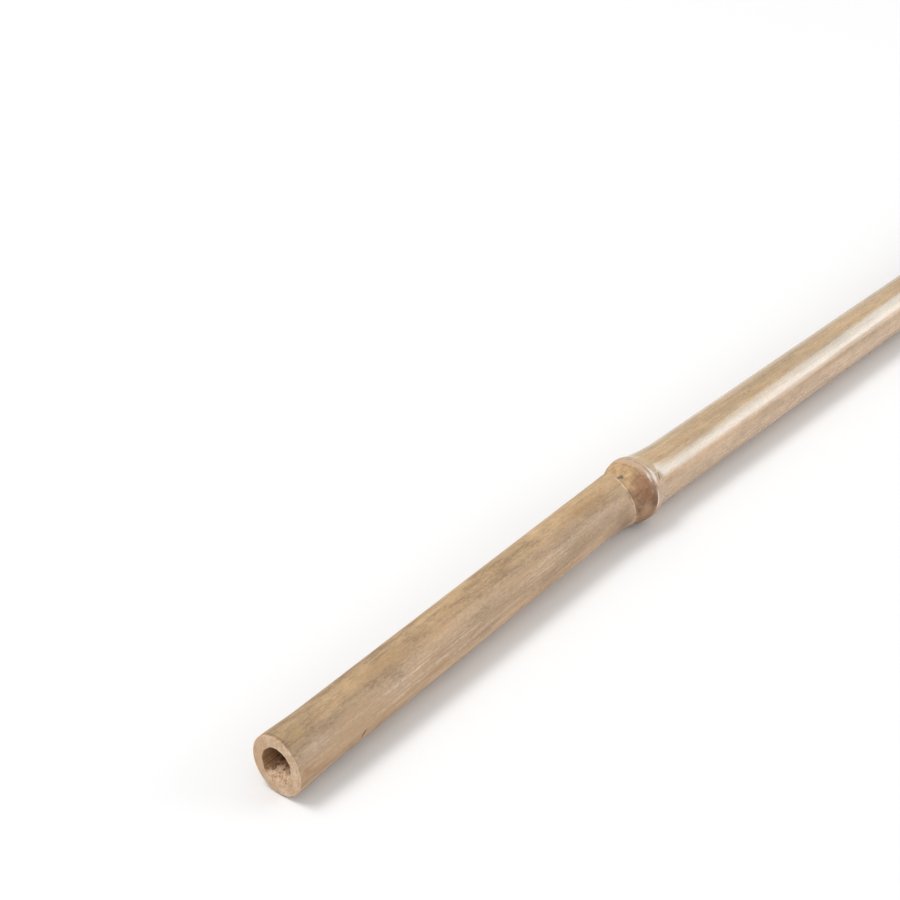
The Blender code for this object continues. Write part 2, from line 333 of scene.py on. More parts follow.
def lean(distance, angle, node):
    """How far the scar and the ridge lean along the culm at each side of it."""
    share = ease(distance / SCAR_LIP)
    reach = ease((LEAN_REACH + abs(SCAR_LIP) - np.abs(distance - SCAR_LIP / 2)) / LEAN_REACH)
    scar = SCAR_LEANS[node, 0] * np.cos(angle - np.radians(SCAR_LEANS[node, 1]))
    ridge = RIDGE_SHIFTS[node] + RIDGE_LEANS[node, 0] * np.cos(angle - np.radians(RIDGE_LEANS[node, 1]))
    near = np.abs(distance) < LEAN_REACH + abs(SCAR_LIP)
    return np.where(near, -reach * (share * scar + (1 - share) * ridge), 0.0)


def branch_rise(distance, angle, radius, node):
    """The branch's trimmed scar, and the groove that runs on from it."""
    side = BRANCH_SIDES[node]
    aside = radius * turned(angle, np.nan_to_num(side))
    boss = BOSS_RISE * bell(distance - BOSS_PLACE, BOSS_RADIUS) * bell(aside, BOSS_RADIUS)
    deepens = ease((distance - GROOVE_START) / (GROOVE_DEEPEST - GROOVE_START))
    fades = 1 - ease((distance - GROOVE_DEEPEST) / (GROOVE_LENGTH - GROOVE_DEEPEST))
    rise = boss - GROOVE_DEPTH * deepens * fades * bell(aside, GROOVE_HALF_WIDTH)
    return np.where(np.isnan(side), 0.0, rise)


def oval(along, angle, node):
    at_butt = 1 - ease(along / BUTT_OVAL_REACH)
    culm = OVAL * np.cos(2 * (angle - OVAL_TURN - OVAL_TURN_PER_NODE * node))
    return at_butt * BUTT_OVAL * np.cos(2 * (angle - BUTT_OVAL_TURN)) + (1 - at_butt) * culm


def cut_lean(along, angle, radius):
    push = 0.0
    for end, (sideways, upwards) in ((0.0, BUTT_CUT_LEAN), (LENGTH, TIP_CUT_LEAN)):
        share = 1 - ease(np.abs(along - end) / CUT_LEAN_REACH)
        push = push + share * radius * (sideways * np.cos(angle) + upwards * np.sin(angle))
    return push


def waves(along, angle, seed, turns, lengths, count=10):
    """A smooth uneven field, about -1 to 1, that closes round the culm."""
    draw = np.random.default_rng(seed)
    total = 0.0
    for _ in range(count):
        around = draw.integers(turns[0], turns[1] + 1)
        length = draw.uniform(*lengths)
        total = total + np.cos(around * angle + 2 * math.pi * along / length + draw.uniform(0, 2 * math.pi))
    return total / math.sqrt(2 * count)


def relief(along, distance, angle, node):
    """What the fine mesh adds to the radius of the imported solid, in metres."""
    uneven = waves(along, angle, 3, (1, 5), (0.05, 0.25))
    fibre = waves(along, angle, 5, (14, 46), (0.15, 0.6), 16)
    torn = waves(node * 0.37, angle, 8, (3, 17), (0.2, 0.9), 12)
    shows = np.where(node == 0, 0.1 + 0.9 * bell(turned(angle, 152), math.radians(55)), 0.9)
    lip = bell(distance - SCAR_LIP - 0.00010 * torn, LIP_WIDTH) * (LIP_MM + LIP_TORN_MM * torn) * shows
    lip = lip - LIP_WORN_MM * bell(distance - SCAR_LIP - 0.0001, LIP_WORN_WIDTH)
    behind = -bell(distance - SCAR_LIP - GAP_PLACE, GAP_WIDTH) * (GAP_MM + GAP_TORN_MM * torn) * shows
    band = ease((distance + BAND_START) / 0.001) * ease(-distance / 0.0015)
    rings = waves(distance, angle, 13, (0, 3), (0.0009, 0.0030), 12)
    lumps = waves(distance, angle, 14, (5, 19), (0.003, 0.012), 16)
    wrinkles = band * (BAND_RINGS_MM * rings + BAND_LUMPS_MM * lumps)
    crest = bell(distance - CREST_PLACE, CREST_WIDTH) * CREST_MM
    return MM * (UNEVEN_MM * uneven + FIBRE_MM * fibre + lip + behind + wrinkles + crest)


def split(along, angle, radius):
    """The short split near the butt, in metres: a wedge out of the skin, and the lifted edge beside it."""
    u = (along - NICK[0] * MM) / MM
    v = radius * turned(angle, NICK[1]) / MM
    across = math.cos(NICK_SLANT) * v - math.sin(NICK_SLANT) * u
    length = math.cos(NICK_SLANT) * u + math.sin(NICK_SLANT) * v
    inside = np.exp(-np.abs(across / NICK_HALF_WIDTH_MM) ** 2.4 - np.abs(length / NICK_HALF_LENGTH_MM) ** 3)
    lifted = bell(across - 0.65, 0.35) * bell(length, NICK_HALF_LENGTH_MM)
    peel = bell(v - 0.30 + 0.02 * (NICK[0] - along / MM), 0.35) * ease((NICK[0] * MM - along) / 0.008)
    return MM * (-NICK_DEPTH_MM * inside + NICK_LIFT_MM * lifted + PEEL_MM * peel)


def skin_ring(along, angle, inset=0.0):
    """Points of one or more rings of the outside. along is a column, angle a row."""
    node = np.argmin(np.abs(along - NODE_PLACES[None, :]), axis=1)[:, None]
    passed = (along + 0 * angle[:, :1] > NODE_PLACES[None, :] + SCAR_LIP).sum(axis=1)
    below = np.clip(passed - 1, 0, None)[:, None]
    size = smooth_radius(along)
    distance = along - NODE_PLACES[node]
    radius = size * (1 + oval(along, angle, node))
    radius = radius + node_rise(distance) * (1 + size / smooth_radius(NODE_PLACES[0])) / 2
    swell = SHEATH_SWELLS[node, 0] * bell(turned(angle, SHEATH_SWELLS[node, 1]), SWELL_HALF_ANGLE)
    radius = radius + swell * bell(distance - SWELL_PLACE, SWELL_REACH)
    shoulder = SHOULDERS[node, 0] * bell(turned(angle, SHOULDERS[node, 1]), SHOULDER_HALF_ANGLE)
    radius = radius + shoulder * bell(distance - SHOULDER_PLACE, SHOULDER_REACH)
    radius = radius + branch_rise(along - NODE_PLACES[below], angle, radius, below) - inset
    x = along + lean(distance, angle, node) + cut_lean(along, angle, radius)
    radius = radius + relief(along, distance, angle, node) + split(along, angle, radius)
    y, z = centre(along)
    return np.stack([x + 0 * angle, y + radius * np.cos(angle), z + radius * np.sin(angle)], axis=-1)


def crumbs(depth, angle, seed, count, reach):
    """How far the pith's lumps stand into a bore, in metres, at this depth and angle."""
    draw = np.random.default_rng(seed)
    total = np.zeros(np.broadcast(depth, angle).shape)
    for _ in range(count):
        place = draw.uniform(-0.0005, reach)
        side = draw.normal(PITH_SIDE, 25)
        size = draw.uniform(0.00035, 0.0011)
        tall = draw.uniform(0.15, 0.60) * size
        aside = CRUMB_RADIUS * turned(angle, side)
        away = ((depth - place) / size) ** 2 + (aside / size) ** 2
        total = np.maximum(total, tall * np.exp(-(away**1.3)))
    return total


def bore_ring(along, angle, mouth, scale=1.0):
    """Points of one or more rings of a bore's wall, with its ragged mouth and crumbling pith."""
    depth = np.abs(along - mouth)
    y, z = centre(along)
    radius = BORE_RATIO * smooth_radius(along) * scale
    ragged = waves(depth, angle, 21, (2, 11), (0.004, 0.03), 14)
    flute = waves(depth, angle, 22, (12, 40), (0.03, 0.3), 12)
    near = 0.25 + 0.75 * (1 - ease(depth / 0.020))
    inward = MM * (RAGGED_MM * ragged * near + FLUTE_MM * flute)
    if mouth == 0.0:
        low = ease((np.cos(angle - np.radians(PITH_SIDE)) - 0.50) / 0.42)
        layer = PITH_LAYER * low * ease((depth + 0.0008) / 0.0042) * (1 - ease((depth - 0.0045) / 0.0045))
        worn = WORN_AWAY * bell(turned(angle, WORN_SIDE), WORN_HALF_ANGLE) * (1 - ease(depth / WORN_DEPTH))
        inward = inward + layer - worn + crumbs(depth, angle, 31, 150, 0.009)
    else:
        inward = inward + crumbs(depth, angle, 32, 70, 0.016)
    x = along + cut_lean(along, angle, radius)
    radius = radius - inward * scale
    z = z + BORE_LIFT
    return np.stack([x + 0 * angle, y + radius * np.cos(angle), z + radius * np.sin(angle)], axis=-1)


def spaced(start, end, step):
    """Places from start to end, about that step apart."""
    return np.linspace(start, end, max(1, round(abs(end - start) / step)) + 1)


def skin_places():
    """Where the outer rings lie: under half a millimetre apart on the nodes, and far apart between them."""
    runs = [spaced(CUT_EDGE, START_FINE_UNTIL, START_STEP)]
    last = START_FINE_UNTIL
    for k, place in enumerate(NODE_PLACES):
        start, end = place + NODE_REACH[0], min(place + NODE_REACH[1], LENGTH - TIP_REACH)
        fine_start, fine_end = place + NODE_FINE[0], place + NODE_FINE[1]
        runs.append(spaced(last, start, PLAIN_STEP))
        runs.append(spaced(start, fine_start, BEFORE_NODE_STEP))
        runs.append(spaced(fine_start, fine_end, FIRST_NODE_STEP if k == 0 else NODE_STEP))
        runs.append(spaced(fine_end, end, AFTER_NODE_STEP))
        last = end
    runs.append(spaced(last, LENGTH - CUT_EDGE, TIP_STEP))
    return np.unique(np.round(np.concatenate(runs), 7))


def bore_places(mouth, bottom, fine, fine_reach):
    """Places along a bore from its mouth, and the dome's places and scales."""
    inward = 1 if bottom > mouth else -1
    dome = BORE_RATIO * float(smooth_radius(bottom)) * DOME_DEPTH_RATIO
    shaft_end = bottom - inward * dome
    reach = mouth + inward * fine_reach
    places = np.concatenate([spaced(mouth, reach, fine), spaced(reach, shaft_end, PLAIN_BORE_STEP)[1:]])
    turns = np.radians(DOME_TURNS)
    return places, shaft_end + inward * dome * np.sin(turns), np.cos(turns)


def bore_grid(mouth, bottom, angle, fine, fine_reach):
    """Rings of a bore from its mouth inwards."""
    places, dome_places, dome_scales = bore_places(mouth, bottom, fine, fine_reach)
    shaft = bore_ring(places[:, None], angle, mouth)
    dome = bore_ring(dome_places[:, None], angle, mouth, dome_scales[:, None])
    return np.concatenate([shaft, dome]), np.concatenate([places, dome_places])


def face_grid(outer, inner, count, seed, angle):
    """Rings across a sawn face, from the skin's edge to the bore's mouth, roughened by the saw."""
    draw = np.random.default_rng(seed)
    steps = np.linspace(0, 1, count + 2)[1:-1, None, None]
    rings = outer[None] * (1 - steps) + inner[None] * steps
    rough = draw.normal(0, SAW_GRAIN_MM * MM, rings.shape[:2])
    rough = rough + SAW_WAVES_MM * MM * waves(steps[..., 0] * 0.01, angle, seed, (1, 9), (0.004, 0.02))
    rings[..., 0] += rough
    return rings


def culm_mesh():
    """The whole culm as one closed surface, from the bottom of the butt's bore to the bottom of the tip's."""
    angle = np.linspace(0, 2 * math.pi, SIDES, endpoint=False)[None, :]
    butt_end, tip_end = NODE_PLACES[0] - WALL_FROM_RIDGE, NODE_PLACES[-1] + WALL_FROM_RIDGE
    butt, butt_places = bore_grid(0.0, butt_end, angle, BUTT_BORE_STEP, BUTT_BORE_FINE)
    tip, tip_places = bore_grid(LENGTH, tip_end, angle, TIP_BORE_STEP, TIP_BORE_FINE)
    places = skin_places()
    skin = skin_ring(places[:, None], angle)
    first = skin_ring(np.array([[0.0]]), angle, CUT_EDGE)
    last = skin_ring(np.array([[LENGTH]]), angle, CUT_EDGE)
    butt_face = face_grid(first[0], butt[0], FACE_RINGS[0], 41, angle)
    tip_face = face_grid(last[0], tip[0], FACE_RINGS[1], 42, angle)
    groups = [
        (butt[::-1], butt_places[::-1], BORE),
        (butt_face[::-1], np.zeros(len(butt_face)), CUT),
        (first, np.zeros(1), CUT),
        (skin, places, SKIN),
        (last, np.full(1, LENGTH), SKIN),
        (tip_face, np.full(len(tip_face), LENGTH), CUT),
        (tip, tip_places, BORE),
    ]
    rings = np.concatenate([group for group, _, _ in groups])
    along = np.concatenate([at for _, at, _ in groups])
    kinds = np.concatenate([np.full(len(group), kind) for group, _, kind in groups])
    return rings, along, kinds, angle[0]


def face_kinds(kinds):
    """The material of the strip between each ring and the next."""
    strip = np.maximum(kinds[:-1], kinds[1:])
    both = (np.minimum(kinds[:-1], kinds[1:]) == CUT) & (strip == BORE)
    strip[both] = CUT
    return strip


def bake_map(rings, strip):
    """Where each face's corners lie on the bake's map, from 0 to 1, in the order of the faces.

    The skin is unrolled in rows, and below the rows lie the two bores, unrolled too, and the two sawn faces.
    """
    steps = np.linalg.norm(np.diff(rings, axis=0), axis=2).mean(axis=1) / MM
    turns = np.arange(SIDES + 1) / SIDES
    ends = [0, *(np.nonzero(np.diff(strip))[0] + 1), len(strip)]
    below = MAP_ROWS * (SKIN_ROUND_MM + MAP_GAP_MM)
    found = []
    for group, (start, end) in enumerate(zip(ends, ends[1:])):
        travelled = np.concatenate([[0.0], np.cumsum(steps[start:end])])
        kind = strip[start]
        if kind == CUT:
            middle = rings[start : end + 1].mean(axis=(0, 1))
            place = (MAP_FACES_AT[group // 2], below + MAP_FACE_DOWN)
            flat = (rings[start : end + 1, :, 1:] - middle[1:]) / MM + place
            flat = np.concatenate([flat, flat[:, :1]], axis=1)
        for j in range(end - start):
            if kind == CUT:
                near, far = flat[j], flat[j + 1]
            else:
                row = int((travelled[j] + travelled[j + 1]) / 2 // MAP_ROW_MM) if kind == SKIN else 0
                at = travelled[j : j + 2] - row * MAP_ROW_MM + MAP_EDGE_MM
                at = at + (MAP_TIP_BORE_AT if group == TIP_BORE_GROUP else 0)
                round_mm = SKIN_ROUND_MM if kind == SKIN else BORE_ROUND_MM
                base = row * (SKIN_ROUND_MM + MAP_GAP_MM) if kind == SKIN else below
                near, far = (np.stack([np.full(SIDES + 1, x), base + round_mm * turns], axis=1) for x in at)
            found.append(np.stack([near[:-1], near[1:], far[1:], far[:-1]], axis=1).reshape(-1, 2))
            if start + j == 0:
                first = near
    tips = []
    for edge, reach in ((first, -MAP_POLE_MM), (far, MAP_POLE_MM)):
        tips.append(np.stack([edge[:-1], edge[1:], (edge[:-1] + edge[1:]) / 2 + (reach, 0)], axis=1))
    tips[0] = tips[0][:, (1, 0, 2)]
    found.append(np.stack(tips, axis=1).reshape(-1, 2))
    size = (MAP_ROW_MM + 2 * MAP_EDGE_MM, below + BORE_ROUND_MM + MAP_GAP_MM)
    return (np.concatenate(found) + (0, MAP_GAP_MM / 2)) / size


def make_culm():
    """The culm's mesh, with where it grew in mm on each point for the materials, and the bake's map."""
    rings, along, kinds, angle = culm_mesh()
    flat = rings.reshape(-1, 3) + np.array(FRAME_SHIFT)
    flat[:, 2] = np.maximum(flat[:, 2], 0.0)
    count = len(rings)
    vertices = np.concatenate([flat, [flat[:SIDES].mean(axis=0), flat[-SIDES:].mean(axis=0)]])
    faces = []
    materials = []
    strip = face_kinds(kinds)
    for i in range(count - 1):
        for k in range(SIDES):
            after = (k + 1) % SIDES
            faces.append((i * SIDES + k, i * SIDES + after, (i + 1) * SIDES + after, (i + 1) * SIDES + k))
        materials += [strip[i]] * SIDES
    end = (count - 1) * SIDES
    for k in range(SIDES):
        after = (k + 1) % SIDES
        faces.append((after, k, len(flat)))
        faces.append((end + k, end + after, len(flat) + 1))
        materials += [BORE, BORE]
    data = bpy.data.meshes.new("culm")
    data.from_pydata(vertices.tolist(), [], faces)
    data.polygons.foreach_set("material_index", np.array(materials, np.int32))
    grown = np.zeros((len(vertices), 3), np.float32)
    grown[: len(flat), 0] = np.repeat(along, SIDES) / MM
    grown[: len(flat), 1] = np.tile(np.cos(angle), count) * SKIN_RADIUS_MM
    grown[: len(flat), 2] = np.tile(np.sin(angle), count) * SKIN_RADIUS_MM
    grown[len(flat), 0] = along[0] / MM
    grown[len(flat) + 1, 0] = along[-1] / MM
    data.attributes.new("grown", "FLOAT_VECTOR", "POINT").data.foreach_set("vector", grown.ravel())
    corners = bake_map(rings, strip).astype(np.float32)
    data.uv_layers.new(name="OFBake").uv.foreach_set("vector", corners.ravel())
    data.shade_smooth()
    data.set_sharp_from_angle(angle=math.radians(SHARP_FROM_DEGREES))
    data.update()
    culm = bpy.data.objects.new("culm", data)
    bpy.context.scene.collection.objects.link(culm)
    return culm


def tone(red, green, blue, light=0.95):
    """The linear reflectance that shows as this sRGB colour, 0 to 255, under that much light."""
    shown = [channel / 255 for channel in (red, green, blue)]
    linear = [c / 12.92 if c <= 0.04045 else ((c + 0.055) / 1.055) ** 2.4 for c in shown]
    return tuple(c / light for c in linear)


class Nodes:
    """Short names for the shader nodes that the materials below are put together from."""

    def __init__(self, name):
        self.material = bpy.data.materials.new(name)
        self.material.use_nodes = True
        self.tree = self.material.node_tree
        self.shader = self.tree.nodes["Principled BSDF"]

    def put(self, socket, value):
        if isinstance(value, bpy.types.NodeSocket):
            self.tree.links.new(value, socket)
        elif socket.type == "RGBA":
            socket.default_value = (*value[:3], 1.0)
        else:
            socket.default_value = value

    def math(self, operation, a, b=None, c=None):
        node = self.tree.nodes.new("ShaderNodeMath")
        node.operation = operation
        for socket, value in zip(node.inputs, (a, b, c)):
            if value is not None:
                self.put(socket, value)
        return node.outputs[0]

    def add(self, a, b):
        return self.math("ADD", a, b)

    def sub(self, a, b):
        return self.math("SUBTRACT", a, b)

    def mul(self, a, b):
        return self.math("MULTIPLY", a, b)

    def product(self, *values):
        found = values[0]
        for value in values[1:]:
            found = self.mul(found, value)
        return found

    def most(self, a, b):
        return self.math("MAXIMUM", a, b)

    def about(self, value, share):
        """A pattern's value, 0 to 1, as an unevenness round 0 of that size."""
        return self.mul(self.sub(value, 0.5), share)

    def tint(self, share, colour, *shown):
        """A colour with that share of a tone laid over it."""
        return self.mix(share, colour, tone(*shown))

    def step(self, value, low, high):
        """0 below low, 1 above high, smooth between. With low above high it falls instead."""
        node = self.tree.nodes.new("ShaderNodeMapRange")
        node.interpolation_type = "SMOOTHSTEP"
        falls = low > high
        self.put(node.inputs["Value"], value)
        self.put(node.inputs["From Min"], min(low, high))
        self.put(node.inputs["From Max"], max(low, high))
        self.put(node.inputs["To Min"], 1.0 if falls else 0.0)
        self.put(node.inputs["To Max"], 0.0 if falls else 1.0)
        return node.outputs["Result"]

    def hump(self, value, middle, half, soft=0.6):
        """1 near middle, falling to 0 at half away on both sides. soft is the share that the fall takes."""
        away = self.math("ABSOLUTE", self.sub(value, middle))
        return self.step(away, half, half * (1 - soft))

    def mix(self, share, a, b):
        node = self.tree.nodes.new("ShaderNodeMix")
        node.data_type = "RGBA"
        self.put(node.inputs["Factor"], share)
        colours = [socket for socket in node.inputs if socket.type == "RGBA"]
        self.put(colours[0], a)
        self.put(colours[1], b)
        return [socket for socket in node.outputs if socket.type == "RGBA"][0]

    def shade(self, colour, factor):
        """A colour times a number."""
        node = self.tree.nodes.new("ShaderNodeVectorMath")
        node.operation = "SCALE"
        self.put(node.inputs[0], colour)
        self.put(node.inputs["Scale"], factor)
        return node.outputs[0]

    def parts(self, vector):
        node = self.tree.nodes.new("ShaderNodeSeparateXYZ")
        self.put(node.inputs[0], vector)
        return node.outputs

    def joined(self, x, y, z):
        node = self.tree.nodes.new("ShaderNodeCombineXYZ")
        for socket, value in zip(node.inputs, (x, y, z)):
            self.put(socket, value)
        return node.outputs[0]

    def attribute(self, name):
        node = self.tree.nodes.new("ShaderNodeAttribute")
        node.attribute_name = name
        return node.outputs["Vector"]

    def noise(self, vector, detail=2.0, rough=0.5, scale=1.0):
        node = self.tree.nodes.new("ShaderNodeTexNoise")
        self.put(node.inputs["Vector"], vector)
        self.put(node.inputs["Scale"], scale)
        self.put(node.inputs["Detail"], detail)
        self.put(node.inputs["Roughness"], rough)
        return node.outputs["Fac"]

    def cells(self, vector, scale=1.0):
        """(distance to the nearest cell's middle, that cell's own random number)"""
        node = self.tree.nodes.new("ShaderNodeTexVoronoi")
        self.put(node.inputs["Vector"], vector)
        self.put(node.inputs["Scale"], scale)
        self.put(node.inputs["Randomness"], 1.0)
        return node.outputs["Distance"], self.parts(node.outputs["Color"])[0]

    def bump(self, height, distance):
        node = self.tree.nodes.new("ShaderNodeBump")
        self.put(node.inputs["Height"], height)
        self.put(node.inputs["Distance"], distance)
        self.put(node.inputs["Strength"], 1.0)
        return node.outputs["Normal"]

    def finish(self, colour, rough, normal, level):
        self.put(self.shader.inputs["Base Color"], colour)
        self.put(self.shader.inputs["Roughness"], rough)
        self.put(self.shader.inputs["Normal"], normal)
        self.shader.inputs["Specular IOR Level"].default_value = level
        return self.material


class Skin(Nodes):
    """Nodes that know where on the culm a point is, in mm, and the patterns that the skin's parts share."""

    def __init__(self, name):
        super().__init__(name)
        self.along, self.y, self.z = self.parts(self.attribute("grown"))
        places = [place / MM for place in NODE_PLACES]
        nearest = places[0]
        self.stretch = self.math("GREATER_THAN", self.along, places[0])
        for before, after in zip(places, places[1:]):
            past = self.math("GREATER_THAN", self.along, (before + after) / 2)
            nearest = self.add(self.mul(past, after - before), nearest)
            self.stretch = self.add(self.stretch, self.math("GREATER_THAN", self.along, after))
        self.ridge = self.sub(self.along, nearest)
        self.nearest = nearest
        self.angle = self.math("ARCTAN2", self.z, self.y)
        self.frayed = self.sub(self.noise(self.stretched(0.5, 0.5), 3.0), 0.5)
        self.blotched = self.sub(self.noise(self.stretched(2.4, 1.5), 4.0, 0.6), 0.5)
        self.cloud = self.noise(self.stretched(38, 7.0), 3.0, 0.55)
        self.broad = self.noise(self.stretched(70, 2.6), 3.0)
        self.middle = self.noise(self.stretched(24, 0.80), 3.0, 0.6)
        self.fine = self.noise(self.stretched(8, 0.24), 2.0, 0.6)
        self.dash = self.noise(self.stretched(1.5, 0.42), 3.0, 0.65)
        self.mottle = self.noise(self.stretched(8, 2.8), 4.0, 0.65)
        self.grain = self.noise(self.stretched(2.6, 1.5, 2.0), 4.0, 0.65)
        self.ring = self.noise(self.stretched(0.75, 5.0, 9.0), 3.0, 0.6)
        self.weathered = self.math("LESS_THAN", self.stretch, 0.5)
        lengthwise = self.mul(self.nearest, 0.1)
        round_it = self.joined(lengthwise, self.mul(self.y, 0.55), self.mul(self.z, 0.55))
        self.torn = self.noise(round_it, 4.0, 0.7)
        self.upper = self.math("GREATER_THAN", self.nearest, UPPER_NODES_FROM_MM)

    def stretched(self, length, width, shift=0.0):
        """Coordinates in which a pattern's features are this long and this wide, in mm."""
        own = self.mul(self.stretch, SHIFT_PER_STRETCH)
        x = self.add(self.mul(self.along, 1 / length), own)
        return self.joined(x, self.add(self.mul(self.y, 1 / width), shift), self.mul(self.z, 1 / width))

    def facing(self, degrees):
        """1 on the side at that angle, -1 on the side away from it."""
        turn = math.radians(degrees)
        return self.math("COSINE", self.sub(self.angle, turn))

    def aside(self, degrees):
        """Distance round the skin from a line along it at that angle, in mm."""
        turn = self.sub(self.angle, math.radians(degrees))
        wrapped = self.math("WRAP", turn, math.pi, -math.pi)
        return self.mul(wrapped, SKIN_RADIUS_MM)

    def mark(self, along, degrees, long, wide, slant=0.0, soft=0.5, ragged=0.0):
        """A patch round that place in mm and degrees, of those half sizes, turned by slant degrees."""
        u = self.sub(self.along, along)
        v = self.aside(degrees)
        turn = math.radians(slant)
        main, side = u, v
        if slant:
            main = self.add(self.mul(u, math.cos(turn)), self.mul(v, math.sin(turn)))
            side = self.sub(self.mul(v, math.cos(turn)), self.mul(u, math.sin(turn)))
        square = self.joined(self.mul(main, 1 / long), self.mul(side, 1 / wide), 0.0)
        node = self.tree.nodes.new("ShaderNodeVectorMath")
        node.operation = "LENGTH"
        self.put(node.inputs[0], square)
        far = node.outputs["Value"]
        if ragged:
            rough = self.frayed if wide < 0.8 else self.blotched
            far = self.add(far, self.mul(rough, ragged))
        return self.step(far, 1.0, 1.0 - soft)


def skin_ground(n):
    """The skin's tints: two sides with painted shade on the upper one, the stretches, grey weathering, and
    painted highlight streaks.
    """
    # Painted shade: the upper side's tones are divided by more light (1.24, not 1.10), to even out the light
    # from above
    back = n.step(n.add(n.facing(62), n.about(n.mottle, 1.4)), -0.2, 0.95)
    butt_skin = n.mix(back, tone(190, 160, 128, 1.10), tone(194, 163, 124, 1.24))
    upper_skin = n.mix(back, tone(198, 170, 145, 1.10), tone(194, 168, 135, 1.24))
    own = n.noise(n.joined(n.mul(n.stretch, 3.7), 0.0, 0.0), 0.0)
    upper_skin = n.tint(n.mul(n.step(own, 0.35, 0.7), 0.25), upper_skin, 205, 170, 118, 1.1)
    colour = n.mix(n.sub(1.0, n.weathered), butt_skin, upper_skin)
    grey = n.product(n.weathered, n.step(n.facing(150), 0.45, 0.95), n.step(n.mottle, 0.40, 0.60))
    colour = n.tint(n.mul(grey, 0.75), colour, 172, 143, 113, 1.15)
    for along, degrees, long, wide in PALE_PATCHES:
        patch = n.mark(along, degrees, long, wide, soft=0.9, ragged=0.8)
        colour = n.tint(n.mul(patch, 0.6), colour, 187, 161, 137, 1.15)
    # Painted highlight: broken pale streaks along the line where the sheen falls on the butt stretch
    line = n.step(n.add(n.facing(164), n.about(n.cloud, 0.35)), 0.90, 0.985)
    reach = n.mul(n.step(n.along, 165, 125), n.add(0.45, n.mul(n.step(n.along, 20, 45), 0.55)))
    streaks = n.product(reach, n.step(n.middle, 0.50, 0.62), line, n.step(n.dash, 0.36, 0.56))
    return n.tint(n.mul(streaks, 0.42), colour, 214, 194, 172, 1.15)


def skin_unevenness(n, colour):
    """Broad patches, fibres, brown and golden tints, specks, and the lower edge lightened as painted floor
    bounce.
    """
    aged = n.add(0.55, n.mul(n.weathered, n.sub(0.45, n.mul(n.step(n.facing(195), 0.2, 0.9), 0.30))))
    dark = n.add(n.about(n.cloud, 1.2), n.about(n.mottle, 1.15))
    dark = n.mul(n.add(dark, n.about(n.dash, 0.95)), aged)
    for pattern, share in ((n.broad, 0.40), (n.middle, 0.40), (n.fine, 0.34)):
        dark = n.add(dark, n.about(pattern, share))
    near_cut = n.product(n.step(n.along, 60, 5), n.step(n.facing(80), 0.0, 0.8), 0.14)
    # Painted light: the butt stretch's lower edge is lightened as if by light bounced from the floor
    painted_floor_bounce = n.product(n.step(n.facing(204), 0.86, 1.0), n.step(n.along, 40, 75))
    painted_floor_bounce = n.product(painted_floor_bounce, n.step(n.along, 158, 138), 0.13)
    colour = n.shade(colour, n.add(n.sub(n.add(1.0, dark), near_cut), painted_floor_bounce))
    brown = n.mul(n.step(dark, -0.06, -0.34), n.weathered)
    colour = n.tint(n.mul(brown, 0.45), colour, 152, 116, 80, 1.15)
    warm = n.mul(n.step(n.noise(n.stretched(30, 1.7, 5.0), 4.0, 0.6), 0.52, 0.72), 0.45)
    colour = n.tint(warm, colour, 190, 146, 96, 1.15)
    gold = n.step(n.noise(n.stretched(9, 2.0, 25.0), 3.0, 0.6), 0.50, 0.66)
    gold = n.product(gold, n.step(n.facing(70), 0.2, 0.9), 0.42)
    colour = n.tint(gold, colour, 204, 170, 122, 1.2)
    olive = n.step(n.noise(n.stretched(14, 2.2, 15.0), 4.0, 0.65), 0.54, 0.70)
    olive = n.product(olive, n.step(n.facing(75), 0.1, 0.9), 0.30)
    colour = n.tint(olive, colour, 162, 132, 97, 1.15)
    spot, kind = n.cells(n.stretched(2.2, 1.1))
    specks = n.mul(n.step(spot, 0.20, 0.08), n.math("GREATER_THAN", kind, 0.90))
    colour = n.tint(n.mul(specks, 0.5), colour, 122, 92, 66)
    spot, kind = n.cells(n.stretched(7.0, 3.1, 3.0))
    flecks = n.mul(n.step(spot, 0.10, 0.05), n.math("GREATER_THAN", kind, 0.86))
    return n.tint(n.mul(flecks, 0.6), colour, 104, 86, 66)


def skin_band(n, colour):
    """The golden and brown band between the scar and the ridge: the colour with it, and where it lies."""
    stain = n.noise(n.stretched(6.0, 3.6, 4.0), 3.0, 0.6)
    edge = n.about(stain, 6.0)
    above = n.mul(n.step(n.facing(74), 0.42, 0.90), 1.4)
    end = n.add(n.add(n.ridge, n.mul(edge, 0.4)), above)
    band = n.mul(n.step(n.add(n.ridge, edge), -11.2, -8.6), n.step(end, 0.7, -0.9))
    golden = n.step(n.add(n.facing(72), n.about(stain, 2.4)), -0.30, 0.80)
    inside = n.mix(golden, tone(122, 89, 66, 1.15), tone(205, 169, 126, 1.24))
    deep = n.mul(n.step(n.facing(158), 0.50, 0.92), n.step(n.ridge, -8.5, -2.0))
    deep = n.mul(deep, n.step(stain, 0.36, 0.58))
    inside = n.tint(n.mul(deep, 0.7), inside, 98, 68, 47, 1.15)
    reddish = n.mul(n.step(n.facing(140), 0.76, 0.98), n.step(n.ridge, -9.5, -4.0))
    inside = n.tint(n.mul(reddish, 0.5), inside, 150, 100, 70, 1.2)
    peach = n.mul(n.step(n.facing(214), 0.80, 0.99), 0.6)
    inside = n.tint(peach, inside, 168, 132, 102, 1.0)
    inside = n.shade(inside, n.add(1.0, n.add(n.about(n.grain, 1.7), n.about(n.ring, 0.5))))
    return n.mix(n.mul(band, 0.92), colour, inside), band


